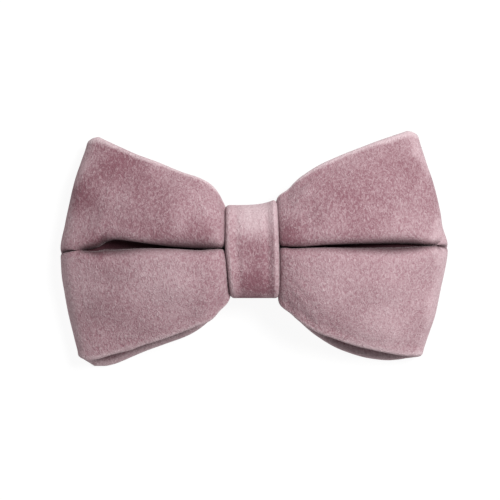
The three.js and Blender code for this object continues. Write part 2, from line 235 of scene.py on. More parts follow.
def front_line(section, fade=1.0):
    """The front layer's middle line, with its pleat as deep as the section says, or a share of that."""
    lower = lobe_line(section, -1, fade)
    upper = lobe_line(section, 1, fade)[::-1]
    bottom = [[section["pleat"], section["crest"] - section["dip"] * fade]]
    return np.concatenate([lower, bottom, upper])


def back_line(section):
    """The back layer's middle line, with its points spread as the front's are."""
    crown = (0.5 - BACK_PLEAT_SHARE) * np.arange(CROWN_POINTS) / CROWN_POINTS
    pleat = 0.5 - BACK_PLEAT_SHARE * (1 - np.arange(PLEAT_POINTS) / PLEAT_POINTS)
    half = np.concatenate([crown, pleat])
    share = np.concatenate([half, [0.5], 1 - half[::-1]])
    half_wall = section["wall"] / 2
    up = mix(section["under_bottom"] + half_wall, section["under_top"] - half_wall, share)
    height = section["under"] + section["curl"] * np.abs(2 * share - 1) ** CROWN_FALL
    return np.stack([up, height], axis=1)


print("points across the band:", len(front_line(half_way)))

# %% [markdown]
# The sections are then strung along the loop: out along the front, round the outer fold and back
# underneath. The outer fold is a half circle whose radius is half the wing's thickness there, and its
# outermost points follow the outline of the wing's end. The pleat runs out on the way round it, and a
# sharp crease takes over. At the other end the cloth spreads out right beside the knot, so the lines
# start from the knot's side edges.

# %% Lines of one wing
WRAP_SIDE_UP = [-13.9, -9.0, -4.0, 0.5, 12.9]
WRAP_LEFT = [-6.7, -7.35, -7.8, -8.3, -8.2]
WRAP_RIGHT = [6.9, 7.05, 7.05, 6.95, 6.35]
KNOT_OUT = 7.3
KNOT_FREE_OUT = 9.0
KNOT_ROOM = 0.15
STEP = 0.9
MIN_STEPS = 5
FOLD_STEPS = 22
CORNER_POWER = 6
PLEAT_END = math.radians(80)
CREASE_RUN = 5.0
CREASE_END = (math.radians(78), math.radians(105))


def stations(outs):
    """Distances out from the knot, closely spaced and passing through every row of the table."""
    spots = []
    for start, end in zip(outs, outs[1:]):
        count = max(MIN_STEPS, math.ceil((end - start) / STEP))
        spots.extend(mix(start, end, np.arange(count) / count))
    return spots


def wing_lines(wing):
    """The lines of one wing from the knot out and back, and the pleat's depth and crease at each."""
    outs = [row[0] for row in wing["sections"]]
    end = section_at(wing, outs[-1])
    front_end = front_line(end, 0.0)
    front_before = front_line(section_at(wing, outs[-1] - 1), 0.0)
    back_end = back_line(end)
    count = len(front_end)
    middle = count // 2
    lobe = np.where(np.arange(count) < middle, -1, 1)
    share = np.abs(np.arange(count) - middle) / middle
    corner = np.where(lobe < 0, wing["corner"][0], wing["corner"][1])
    pull = -lobe * corner * share ** CORNER_POWER
    tilt = np.arctan(front_before[:, 1] - front_end[:, 1])
    radius = (front_end[:, 1] - back_end[:, 1]) / (1 + np.cos(tilt))
    outer_up = (front_end[:, 0] + back_end[:, 0]) / 2 + pull
    reach = through(wing["outline"]["up"], wing["outline"]["reach"], outer_up) - BAND_WALL / 2 - radius
    spread_up = front_line(section_at(wing, KNOT_FREE_OUT))[:, 0]
    wrap_side = WRAP_RIGHT if wing["side"] > 0 else WRAP_LEFT
    knot_reach = np.abs(through(WRAP_SIDE_UP, wrap_side, spread_up)) + KNOT_ROOM

    def place(line, out, far_reach):
        far = max(out - KNOT_OUT, 0) / (outs[-1] - KNOT_OUT)
        x = mix(knot_reach * min(out / KNOT_OUT, 1), far_reach, far)
        return np.stack([wing["side"] * x, line[:, 0], line[:, 1]], axis=1)

    spots = stations(outs)
    front_reach = reach + radius * np.sin(tilt)
    front = [place(front_line(section_at(wing, out)), out, front_reach) for out in spots]
    back = [place(back_line(section_at(wing, out)), out, reach) for out in reversed(spots)]
    fold = []
    depths = [section_at(wing, out)["dip"] for out in spots]
    creases = [float(smooth(outs[-1] - CREASE_RUN, outs[-1], out)) for out in spots]
    for part in np.linspace(0, 1, FOLD_STEPS + 1):
        turn = mix(tilt, math.pi, part)
        fade = float(1 - smooth(tilt[middle], PLEAT_END, turn[middle]))
        depths.append(end["dip"] * fade)
        creases.append(float(1 - smooth(*CREASE_END, turn[middle])))
        pleated = front_line(end, fade)
        dent = front_end[:, 1] - pleated[:, 1]
        inward = np.minimum((turn - tilt) / (math.pi / 2 - tilt), 1) * math.pi / 2
        round_share = (np.cos(tilt) - np.cos(turn)) / (np.cos(tilt) + 1)
        x = wing["side"] * (reach + radius * np.sin(turn) - dent * np.sin(inward))
        up = mix(pleated[:, 0], back_end[:, 0], round_share) + pull * math.sin(part * math.pi)
        height = back_end[:, 1] + radius * (1 + np.cos(turn)) - dent * np.cos(inward)
        fold.append(np.stack([x, up, height], axis=1))
    none = [0.0] * len(back)
    return front + fold + back, depths + none, creases + none


def joined(right, left):
    """One list round the whole band, from a list out along each wing."""
    return np.array(right + left[::-1][1:-1])


band_middle, pleat_depth, crease_depth = map(joined, wing_lines(WINGS["right"]), wing_lines(WINGS["left"]))
print("sections round the band:", len(band_middle), "with", band_middle.shape[1], "points each")

# %% [markdown]
# To thicken or move cloth, a script has to know which way it faces at each point and how far each point
# is from the cloth's edges. Blender works out normals only once there is a mesh, so they are found here
# from the neighbouring points: the normal is the cross product of the way along the band and the way
# across it.

# %% Facings and distances
FRONT_FACES = (-0.35, 0.75)


def facings(lines):
    """The normal of the cloth at each point of a closed run of lines."""
    along = np.roll(lines, -1, axis=0) - np.roll(lines, 1, axis=0)
    across = np.empty_like(lines)
    across[:, 1:-1] = lines[:, 2:] - lines[:, :-2]
    across[:, 0] = lines[:, 1] - lines[:, 0]
    across[:, -1] = lines[:, -1] - lines[:, -2]
    normal = np.cross(along, across)
    return normal / np.linalg.norm(normal, axis=-1, keepdims=True)


def run_across(lines):
    """How far along each line its points are."""
    steps = np.linalg.norm(np.diff(lines, axis=1), axis=-1)
    return np.concatenate([np.zeros((len(lines), 1)), np.cumsum(steps, axis=1)], axis=1)


def front_share(lines):
    """1 on the front layer, 0 on the back layer, and in between round the outer folds."""
    return smooth(*FRONT_FACES, facings(lines)[..., 2])


knot_width = float(run_across(band_middle)[0, -1])
print("under the knot, the cloth is", round(knot_width, 1), "mm wide along its folds")

# %% [markdown]
# A table of sections gives a shape that is too even for cloth, so the front layer gets slow waves of a
# few tenths of a millimetre and fine gathers that spread from the knot. They fade out where the cloth is
# held: in the pleat, under the wrap and on the back layer, which lies on the table.

# %% Soften the cloth
WAVE_LENGTH = 17.0
WAVE_HEIGHT = 0.34
WAVE_SEED = 5
WAVE_FREE = (10.0, 17.0)
GATHER_COUNT = 34
GATHER_HEIGHT = 0.09
GATHER_CENTRE = 3.0
GATHER_WANDER = 1.5
GATHER_WANDERS = 7
GATHER_START = (9.6, 12.0)
GATHER_PEAK = 11.0
GATHER_REACH = 9.0
PLEAT_HOLD = 6.0


def slow_waves(points, length, seed, count=7):
    """Gentle random waves over a surface, from -1 to 1 or so."""
    rng = np.random.default_rng(seed)
    total = np.zeros(points.shape[:-1])
    for _ in range(count):
        heading = rng.uniform(0, 2 * math.pi)
        stretch = rng.uniform(0.7, 1.5)
        phase = rng.uniform(0, 2 * math.pi)
        run = points[..., 0] * math.cos(heading) + points[..., 1] * math.sin(heading)
        total += np.cos(2 * math.pi * run / (length * stretch) + phase)
    return total / math.sqrt(count)


def softened(lines):
    """The lines with the cloth's slow waves and gathers added along its normals."""
    middle = lines.shape[1] // 2
    run = run_across(lines)
    lower, upper = run[:, middle - PLEAT_POINTS, None], run[:, middle + PLEAT_POINTS, None]
    off_pleat = smooth(0, PLEAT_HOLD, np.maximum(lower - run, run - upper))
    out = np.abs(lines[..., 0])
    free = smooth(*WAVE_FREE, out) * front_share(lines) * off_pleat
    angle = np.arctan2(lines[..., 1], out - GATHER_CENTRE)
    gathers = np.cos(angle * GATHER_COUNT + GATHER_WANDER * np.sin(angle * GATHER_WANDERS))
    near_knot = smooth(*GATHER_START, out) * np.exp(-((out - GATHER_PEAK) / GATHER_REACH) ** 2)
    amount = free * WAVE_HEIGHT * slow_waves(lines, WAVE_LENGTH, WAVE_SEED)
    amount += near_knot * front_share(lines) * off_pleat * GATHER_HEIGHT * gathers
    return lines + amount[..., None] * facings(lines)


band_middle = softened(band_middle)
print("softened: waves up to", WAVE_HEIGHT, "mm and gathers up to", GATHER_HEIGHT, "mm")

# %% [markdown]
# The lines so far are only the middle of the cloth. Its wall is made by moving the middle out along
# its normals to both sides and closing each long edge with a half round. A pressed tube is fatter along
# its pressed edges, with a shallow groove beside each, so the wall swells there on the front layer. Where
# the pleat runs out over the outer fold, it is only a sharp crease in the face of the cloth, so the wall
# is thinned along a narrow line. Blender's Solidify would give the wall, but with square edges.

# %% Give the cloth its wall
ROUND_STEPS = 8
EDGE_SWELL = 0.28
EDGE_SWELL_WIDTH = 0.95
EDGE_GROOVE = 0.11
EDGE_GROOVE_AT = 2.2
EDGE_GROOVE_WIDTH = 0.7
CREASE_DEPTH = 1.1
CREASE_WIDTH = 0.40
CREASE_POWER = 1.5


def edge_shape(away):
    """How much thicker the wall is at a distance in from its long edge."""
    swell = EDGE_SWELL * np.exp(-(away / EDGE_SWELL_WIDTH) ** 2)
    return swell - EDGE_GROOVE * np.exp(-((away - EDGE_GROOVE_AT) / EDGE_GROOVE_WIDTH) ** 2)


def edge_distance(lines):
    """The distance along the cloth from each point to the nearer long edge."""
    run = run_across(lines)
    return np.minimum(run, run[:, -1:] - run)


def crease_line(lines, width):
    """1 along the sharp end of the pleat, over the outer folds, and 0 away from it."""
    middle = lines.shape[1] // 2
    run = run_across(lines)
    away = run - run[:, middle:middle + 1]
    return crease_depth[:, None] * np.exp(-np.abs(away / width) ** CREASE_POWER)


def round_edge(end, inner, normal, outer_half, inner_half, reach):
    """Points round the long edges of the cloth, from the normal's side to the other."""
    outward = end - inner
    outward -= np.sum(outward * normal, axis=-1, keepdims=True) * normal
    outward /= np.linalg.norm(outward, axis=-1, keepdims=True)
    points = []
    for turn in np.arange(1, ROUND_STEPS) / ROUND_STEPS * math.pi:
        side = outer_half if turn < math.pi / 2 else inner_half
        lift = (side * math.cos(turn))[:, None] * normal
        points.append(end + lift + (reach * math.sin(turn))[:, None] * outward)
    return np.stack(points, axis=1)


def walled(lines):
    """Loops round the cloth's wall: its outer face, one long edge, its inner face and the other edge."""
    normals = facings(lines)
    half = wall_at(np.abs(lines[..., 0])) / 2
    swell = edge_shape(edge_distance(lines)) * front_share(lines)
    outer = half + swell - CREASE_DEPTH * crease_line(lines, CREASE_WIDTH)
    return np.concatenate([
        lines + outer[..., None] * normals,
        round_edge(lines[:, -1], lines[:, -2], normals[:, -1], outer[:, -1], half[:, -1], half[:, -1]),
        (lines - half[..., None] * normals)[:, ::-1],
        round_edge(lines[:, 0], lines[:, 1], -normals[:, 0], half[:, 0], outer[:, 0], half[:, 0]),
    ], axis=1)


band_walls = walled(band_middle)
print("points round the cloth's wall:", band_walls.shape[1])

# %% [markdown]
# The loops stand in a row, like the rings of a hose. A skin over them needs only one face for each two
# neighbouring points of a loop and the same two of the next. The band's and the wrap's loops come round
# to the first again, while the keeper's row ends in two flat caps. The faces are written directly, in
# an order that makes them face outwards, so nothing has to be merged or turned afterwards.

# %% A skin over loops
def skin(name, loops, closed=True, **marks):
    """A smooth closed mesh over loops of points in millimetres. A mark is one number for each point."""
    count, size, _ = loops.shape
    ring = np.arange(count if closed else count - 1)[:, None]
    spot = np.arange(size)[None, :]
    after, beside = (ring + 1) % count, (spot + 1) % size
    corners = [ring * size + spot, after * size + spot, after * size + beside, ring * size + beside]
    quads = np.stack(corners, axis=-1)
    faces = quads.reshape(-1, 4).tolist()
    if not closed:
        faces.append(list(range(size)))
        faces.append(list(range(count * size - 1, (count - 1) * size - 1, -1)))
    mesh = bpy.data.meshes.new(name)
    mesh.from_pydata((loops.reshape(-1, 3) * MM).tolist(), [], faces)
    mesh.validate()
    mesh.shade_smooth()
    for mark, values in marks.items():
        written = mesh.attributes.new(mark, "FLOAT", "POINT")
        written.data.foreach_set("value", values.astype(np.float32).ravel())
    piece = bpy.data.objects.new(name, mesh)
    scene.collection.objects.link(piece)
    return piece


print("skin ready")

# %% [markdown]
# The velvet's colour carries a painted highlight along the cloth's rims and painted shade deep in the
# pleat and along its crease. The place in space alone doesn't tell a material where those are, because
# the pleat winds, so two numbers are worked out on the same grid as the points and stored in the mesh,
# where a material can read them.

# %% Mark the painted rim highlight and the painted pleat shade
# Painted shade in the pleat: how far in and how deep a pleat before it is full, and how dark and wide it is
# along the crease.
PAINTED_SHADE_FROM = 0.10
PAINTED_SHADE_TO = 0.42
PAINTED_SHADE_DEPTHS = (0.8, 3.0)
CREASE_PAINTED_SHADE = 0.95
CREASE_PAINTED_SHADE_WIDTH = 0.6
# How wide the painted rim highlight is, and how strong it is on the lower edges.
RIM_HIGHLIGHT_WIDTH = 0.25
LEFT_RIM_HIGHLIGHT_WIDTH = 0.8
LOW_RIM_HIGHLIGHT = 0.5


def round_loops(face, cap, back=None):
    """One number for each point of walled loops: over the outer face, the two rounds and the inner face."""
    caps = np.full((len(face), ROUND_STEPS - 1), float(cap))
    return np.concatenate([face, caps, (face if back is None else back)[:, ::-1], caps], axis=1)


def rim_highlight_mark(away, width=RIM_HIGHLIGHT_WIDTH):
    """Where the painted highlight goes: 1 on the rolled rims and 0 between them."""
    return round_loops(1 - smooth(0, width, away), 1)


def painted_shade_mark(lines):
    """Where painted shade darkens the colour: 1 deep in the pleat and along its crease, and 0 on the open
    cloth.
    """
    place = np.abs(np.arange(lines.shape[1]) - lines.shape[1] // 2)
    into = smooth(PAINTED_SHADE_FROM, PAINTED_SHADE_TO, 1 - place / PLEAT_POINTS)
    painted_shade = smooth(*PAINTED_SHADE_DEPTHS, pleat_depth)[:, None] * into[None, :]
    face = np.maximum(painted_shade, CREASE_PAINTED_SHADE * crease_line(lines, CREASE_PAINTED_SHADE_WIDTH))
    return round_loops(face, 0, np.zeros(face.shape))


# The painted rim highlight is wider on the left wing and half as strong on the lower edges, which face away
# from the key light.
rim_highlight_widths = np.where(band_middle[..., 0] < 0, LEFT_RIM_HIGHLIGHT_WIDTH, RIM_HIGHLIGHT_WIDTH)
rim_highlight_shares = np.where(band_walls[..., 1] > 0, 1, LOW_RIM_HIGHLIGHT)
band_rim_highlights = rim_highlight_mark(edge_distance(band_middle), rim_highlight_widths) * rim_highlight_shares
# The rim mark carries the painted highlight and the fold mark the painted shade.
band = skin("velvet_band", band_walls, rim=band_rim_highlights, fold=painted_shade_mark(band_middle))
print("velvet band:", len(band.data.polygons), "faces")

# %% [markdown]
# The knot is a strip of the same velvet wrapped round the middle and joined behind. Its round is a
# squared ellipse, bowed in front and flatter behind, and its side edges are rolled over and stand a
# little proud. The wings push it out of true, so its sides follow a short table and its top leans.

# %% Knot wrap
WRAP_WALL = 2.4
WRAP_MIDDLE_UP = -0.75
WRAP_HALF_HEIGHT = 13.15
WRAP_BACK = 7
WRAP_DEPTH = 14.6
WRAP_FRONT_POWER = 2.5
WRAP_BACK_POWER = 4
WRAP_TOP_LEAN = 1.5
WRAP_LEAN_POWER = 4
WRAP_ROLL = 0.6
WRAP_ROLL_WIDTH = 0.85
WRAP_GROOVE = 0.25
WRAP_GROOVE_AT = 2.1
WRAP_GROOVE_WIDTH = 0.8
WRAP_STEPS_ROUND = 220
WRAP_STEPS_ACROSS = 40


def wrap_round(turn, inset):
    """A point of the wrap's round, a distance in from its outer face: up and height."""
    power = WRAP_FRONT_POWER if math.sin(turn) > 0 else WRAP_BACK_POWER
    across, lift = math.cos(turn), math.sin(turn)
    up = WRAP_MIDDLE_UP + (WRAP_HALF_HEIGHT - inset) * math.copysign(abs(across) ** (2 / power), across)
    rise = (WRAP_DEPTH / 2 - inset) * math.copysign(abs(lift) ** (2 / power), lift)
    return np.array([0, up, WRAP_BACK + WRAP_DEPTH / 2 + rise])


def wrap_loops():
    """The wrap's loops, and how far in from its rims their points are."""
    half = WRAP_WALL / 2
    rounds = np.arange(1, ROUND_STEPS) / ROUND_STEPS * math.pi
    loops = []
    aways = []
    for i in range(WRAP_STEPS_ROUND):
        turn = (i + 0.5) / WRAP_STEPS_ROUND * 2 * math.pi
        middle = wrap_round(turn, half)
        outward = wrap_round(turn, 0) - wrap_round(turn, WRAP_WALL)
        outward /= np.linalg.norm(outward)
        left = through(WRAP_SIDE_UP, WRAP_LEFT, middle[1]) + half
        right = through(WRAP_SIDE_UP, WRAP_RIGHT, middle[1]) - half
        x = np.linspace(left, right, WRAP_STEPS_ACROSS + 1)
        near = np.minimum(x - left, right - x)
        rim = WRAP_ROLL * np.exp(-(near / WRAP_ROLL_WIDTH) ** 2)
        rim -= WRAP_GROOVE * np.exp(-((near - WRAP_GROOVE_AT) / WRAP_GROOVE_WIDTH) ** 2)
        roll = max(math.sin(turn), 0) * rim
        xs = np.concatenate([x, right + half * np.sin(rounds), x[::-1], left - half * np.sin(rounds)])
        right_round = np.where(rounds < math.pi / 2, half + roll[-1], half) * np.cos(rounds)
        left_round = np.where(rounds > math.pi / 2, half + roll[0], half) * -np.cos(rounds)
        out = np.concatenate([half + roll, right_round, np.full(len(x), -half), left_round])
        lean = WRAP_TOP_LEAN * max(middle[1] - WRAP_MIDDLE_UP, 0) / WRAP_HALF_HEIGHT
        lift = lean * np.clip((xs - left) / (right - left), 0, 1) ** WRAP_LEAN_POWER
        moved = np.stack([xs, lift, np.zeros(len(xs))], axis=1)
        loops.append(middle + moved + np.outer(out, outward))
        aways.append(near)
    return np.array(loops), np.array(aways)


wrap_walls, from_rim = wrap_loops()
# The wrap's rims get the painted highlight too; it has no pleat shade.
wrap = skin("velvet_wrap", wrap_walls, rim=rim_highlight_mark(from_rim), fold=np.zeros(wrap_walls.shape[:2]))
print("velvet wrap:", len(wrap.data.polygons), "faces")

# %% [markdown]
# The keeper is a flat woven elastic, sewn by its ends to the back of the wrap and bowed away from it
# between, so that a collar can pass through. It follows the back of the wrap at its two tabs and lies just
# above the table in the middle.

# %% Keeper strip
CLEARANCE = 0.3
KEEPER_WIDTH = 12.0
KEEPER_THICKNESS = 1.4
KEEPER_CORNER = 0.5
KEEPER_HALF_HEIGHT = 12.2
KEEPER_TAB_FROM = 9.0
KEEPER_SEAT_TO = 5.5
KEEPER_FLOOR_GAP = 0.4
KEEPER_STEPS = 110
KEEPER_STEPS_ACROSS = 150


def wrap_back_height(up):
    """The height of the wrap's back face at a distance up from its middle."""
    share = np.abs(up) / WRAP_HALF_HEIGHT
    return WRAP_BACK + WRAP_DEPTH / 2 * (1 - (1 - share ** WRAP_BACK_POWER) ** (1 / WRAP_BACK_POWER))


def keeper_height(up):
    """The height of the middle of the elastic at a distance up from its own middle."""
    half = KEEPER_THICKNESS / 2
    tab = wrap_back_height(up) - CLEARANCE - half
    return mix(KEEPER_FLOOR_GAP + half, tab, smooth(KEEPER_SEAT_TO, KEEPER_TAB_FROM, np.abs(up)))


def keeper_loops(up, line):
    """Loops across the elastic, one at each point of its middle line."""
    half = KEEPER_THICKNESS / 2
    along = np.gradient(line, axis=0)
    outward = np.stack([np.zeros(len(up)), -along[:, 2], along[:, 1]], axis=1)
    outward /= np.linalg.norm(outward, axis=1, keepdims=True)
    flat = KEEPER_WIDTH / 2 - KEEPER_CORNER
    wide = np.linspace(-flat, flat, KEEPER_STEPS_ACROSS + 1)
    rounds = np.arange(1, ROUND_STEPS) / ROUND_STEPS * math.pi
    corner = flat + KEEPER_CORNER * np.sin(rounds)
    xs = np.concatenate([wide, corner, -wide, -corner])
    flat_out = np.full(len(wide), half)
    outs = np.concatenate([flat_out, half * np.cos(rounds), -flat_out, -half * np.cos(rounds)])
    sideways = xs[None, :, None] * np.array([1.0, 0, 0])
    return line[:, None] + sideways + outs[None, :, None] * outward[:, None]


keeper_up = np.linspace(-KEEPER_HALF_HEIGHT, KEEPER_HALF_HEIGHT, KEEPER_STEPS + 1)
keeper_line = np.stack([
    np.zeros(len(keeper_up)),
    WRAP_MIDDLE_UP + keeper_up,
    keeper_height(keeper_up),
], axis=1)
keeper = skin("elastic_keeper", keeper_loops(keeper_up, keeper_line), closed=False)

# %% [markdown]
# Node trees read best as plain expressions, so a socket is wrapped in a small class whose operators add
# Math nodes, and every other node comes from one method. Shaders and geometry share it.

# %% Wires and nodes
class Wire:
    """An output socket that can be used like a number."""

    def __init__(self, nodes, socket):
        self.nodes = nodes
        self.socket = socket

    def math(self, operation, first, second=0.0):
        return self.nodes.add("ShaderNodeMath", {"operation": operation}, {0: first, 1: second})

    def __add__(self, other):
        return self.math("ADD", self, other)

    def __sub__(self, other):
        return self.math("SUBTRACT", self, other)

    def __mul__(self, other):
        return self.math("MULTIPLY", self, other)

    def __truediv__(self, other):
        return self.math("DIVIDE", self, other)

    def __rsub__(self, other):
        return self.math("SUBTRACT", other, self)

    def __rtruediv__(self, other):
        return self.math("DIVIDE", other, self)

    __radd__ = __add__
    __rmul__ = __mul__

    def cosine(self):
        return self.math("COSINE", self)

    def clamped(self):
        return self.math("MINIMUM", self.math("MAXIMUM", self, 0.0), 1.0)

    def part(self, axis):
        return self.nodes.add("ShaderNodeSeparateXYZ", None, {0: self}, axis)


class Nodes:
    """A node tree that grows by one call for each node."""

    def __init__(self, tree):
        self.tree = tree

    def add(self, kind, settings=None, inputs=None, output=0):
        made = self.tree.nodes.new(kind)
        for name, value in (settings or {}).items():
            setattr(made, name, value)
        for socket, value in (inputs or {}).items():
            self.join(value, made.inputs[socket])
        return Wire(self, made.outputs[output])

    def join(self, value, socket):
        if isinstance(value, Wire):
            self.tree.links.new(value.socket, socket)
        else:
            socket.default_value = value


print("wires and nodes ready")

# %% [markdown]
# Each material here is one Principled surface. What is the same all over is set on the surface's own
# sockets, and only what changes over the cloth comes through nodes. Python names take no spaces, so a
# socket such as Base Color is written Base_Color.

# %% Shader nodes
class Shader(Nodes):
    """A material round one Principled surface."""

    def __init__(self, name, **constants):
        self.material = bpy.data.materials.new(name)
        self.material.use_nodes = True
        super().__init__(self.material.node_tree)
        self.surface = self.tree.nodes["Principled BSDF"]
        for socket, value in constants.items():
            self.surface.inputs[socket.replace("_", " ")].default_value = value

    def feed(self, **values):
        for socket, value in values.items():
            self.join(value, self.surface.inputs[socket.replace("_", " ")])

    def place(self):
        return self.add("ShaderNodeTexCoord", output="Object")

    def mark(self, name):
        """A number that the mesh holds at each of its points."""
        return self.add("ShaderNodeAttribute", {"attribute_name": name}, output="Fac")

    def stretched(self, where, scale):
        return self.add("ShaderNodeMapping", None, {"Vector": where, "Scale": scale})

    def noise(self, where, scale, detail=2.0, roughness=0.5, distortion=0.0):
        return self.add("ShaderNodeTexNoise", None, {
            "Vector": where, "Scale": scale, "Detail": detail, "Roughness": roughness,
            "Distortion": distortion,
        }, "Fac")

    def blend(self, factor, first, second):
        return self.add("ShaderNodeMix", {"data_type": "RGBA"}, {0: factor, 6: first, 7: second}, 2)

    def bump(self, height, distance, strength, normal=None):
        inputs = {"Height": height, "Distance": distance, "Strength": strength}
        if normal is not None:
            inputs["Normal"] = normal
        return self.add("ShaderNodeBump", None, inputs, "Normal")


print("shader nodes ready")

# %% [markdown]
# What repeats on the real bow, such as ribs and stitches, is grown by Geometry Nodes. Each tree has named
# inputs for its sizes, runs once on a source object, and its result is kept as a plain mesh, so nothing
# stays live in the scene.

# %% Geometry nodes
class Grower(Nodes):
    """A geometry tree with named inputs, which turns one mesh into another."""

    def __init__(self, name, **numbers):
        super().__init__(bpy.data.node_groups.new(name, "GeometryNodeTree"))
        self.numbers = numbers
        self.sockets = {}
        self.open_socket("Mesh", "NodeSocketGeometry")
        for label, value in numbers.items():
            kind = "NodeSocketInt" if isinstance(value, int) else "NodeSocketFloat"
            self.open_socket(label, kind)
        self.open_socket("Material", "NodeSocketMaterial")
        self.tree.interface.new_socket("Mesh", in_out="OUTPUT", socket_type="NodeSocketGeometry")
        self.entry = self.tree.nodes.new("NodeGroupInput")

    def open_socket(self, label, kind):
        socket = self.tree.interface.new_socket(label, in_out="INPUT", socket_type=kind)
        self.sockets[label] = socket.identifier

    def given(self, label):
        return Wire(self, self.entry.outputs[label])

    def end(self, geometry):
        """Realizes what was grown, gives it its material, and closes the tree."""
        real = self.add("GeometryNodeRealizeInstances", None, {0: geometry})
        dressed = self.add("GeometryNodeSetMaterial", None, {
            "Geometry": real, "Material": self.given("Material"),
        })
        self.join(dressed, self.tree.nodes.new("NodeGroupOutput").inputs[0])

    def grow(self, name, source, material):
        """Runs the tree on a source object and returns a new object with a plain mesh."""
        modifier = source.modifiers.new(self.tree.name, "NODES")
        modifier.node_group = self.tree
        for label, value in self.numbers.items():
            modifier[self.sockets[label]] = value
        modifier[self.sockets["Material"]] = material
        ready = source.evaluated_get(bpy.context.evaluated_depsgraph_get())
        mesh = bpy.data.meshes.new_from_object(ready)
        mesh.name = name
        bpy.data.objects.remove(source)
        grown = bpy.data.objects.new(name, mesh)
        scene.collection.objects.link(grown)
        return grown


print("geometry nodes ready")

# %% [markdown]
# Velvet is a dense pile of short fibres that stand on the cloth. Seen from the side they catch the
# light, so every edge and slope glows, and where the pile has been brushed another way a patch turns
# darker. Sheen gives the glow, helped along the rims by a painted highlight, broad noise gives the
# brushed patches, and fine noise, in colour and in bump, gives the clumped tips of the pile.

# %% Colours and scales of the pile
# The first colour is the painted shade of the pleat's depths and crease.
PILE_PAINTED_SHADE = (0.045, 0.015, 0.020, 1.0)
PILE_DEEP = (0.180, 0.078, 0.097, 1.0)
PILE_MIDDLE = (0.300, 0.172, 0.197, 1.0)
PILE_PALE = (0.520, 0.405, 0.425, 1.0)
PILE_SHEEN = (1.0, 0.80, 0.84, 1.0)
SHEEN_WEIGHT = 0.18
SHEEN_ROUGHNESS = 0.45
SPECULAR = 0.12
STROKES = (1.0, 0.6, 1.0)
PATCH_SCALE = 90.0
MOTTLE_SCALE = 330.0
CLUMP_SCALE = 1800.0
TIP_SCALE = 3000.0
PATCH_LAY = 0.45
MOTTLE_LAY = 0.10
GRAIN_MIDDLE = 0.24
CLUMP_GRAIN = 1.25
TIP_GRAIN = 0.4
MOTTLE_BUMP = (0.0012, 0.10)
CLUMP_BUMP = (0.0005, 0.55)
TIP_BUMP = (0.0002, 0.4)
LAY_AND_PAINTED_LIGHT_PALE = 0.40
print("pile clumps about", round(1000 / CLUMP_SCALE, 2), "mm apart")

# %% [markdown]
# A table lists spots that are darker or lighter, in millimetres from the bow's middle. Most rows on
# the band darken or lighten a broad spot of the cloth, and the rows marked below are painted shade and
# a painted sheen highlight. The wrap's rows are painted light: a painted highlight over its top, which
# faces the key light, and painted shade lower down. The effect of a row grows from nothing at one
# distance from its point to its whole amount at another: a soft spot, or, in the last two rows of the
# band's table, all that lies beyond a wide arc, which is the outer fold of a wing. The noise of the
# patches moves these distances a little, so no spot is a perfect round.

# %% Spots of tone and of painted light
SPOT_WANDER = 8.0
SPOT_COLUMNS = ["x", "y", "from", "to", "amount"]
BAND_SPOTS_AND_PAINTED_LIGHT = [
    [-52.0, 15.0, 12.0, 0.0, -0.50],
    [-38.5, 24.0, 12.0, 0.0, -0.45],
    # Painted shade on the lip of the left pleat.
    [-44.0, 1.2, 5.0, 0.0, -0.40],
    [-30.0, 12.0, 12.0, 0.0, -0.22],
    [-25.0, 4.5, 6.0, 0.0, -0.25],
    [-15.0, 4.5, 6.0, 0.0, -0.35],
    [-14.0, 12.0, 7.0, 0.0, 0.15],
    [-50.0, -10.0, 10.0, 0.0, 0.28],
    [-26.0, -9.0, 16.0, 0.0, 0.35],
    # Painted shade beside the knot on the right wing.
    [9.5, 4.0, 7.5, 0.0, -0.50],
    [19.0, 12.0, 8.0, 0.0, -0.12],
    [30.0, 12.0, 16.0, 0.0, -0.22],
    [40.0, 24.0, 12.0, 0.0, -0.26],
    [44.0, -8.0, 20.0, 0.0, 0.22],
    [36.0, -24.0, 14.0, 0.0, 0.40],
    [22.0, -9.0, 16.0, 0.0, 0.22],
    # Painted sheen highlight over the outer folds of both wings.
    [-20.0, 0.0, 70.0, 74.2, 0.70],
    [20.0, -2.0, 71.5, 75.5, 0.40],
]
WRAP_PAINTED_LIGHT = [
    # Painted highlight over the wrap's top, painted shade lower down.
    [0.0, 11.5, 12.0, 0.0, 1.40],
    [0.0, -1.0, 9.0, 0.0, -0.30],
    [0.0, -11.0, 9.0, 0.0, -0.60],
]
print("brushed places:", len(BAND_SPOTS_AND_PAINTED_LIGHT), "on the band and", len(WRAP_PAINTED_LIGHT), "on the wrap")

# %% [markdown]
# The material puts these together. How the pile lies, with the painted light and shade of the spots,
# sets the base colour between deep and middle, and the grain of its tips mixes in the pale one. Along
# the rims a painted highlight mixes in more of the pale one, and deep in the pleat painted shade takes
# the colour to nearly black: the two numbers in the mesh say where.

# %% Velvet
# How strongly the painted highlight pales the rims of the band and of the wrap.
BAND_RIM_HIGHLIGHT = 0.68
WRAP_RIM_HIGHLIGHT = 0.20


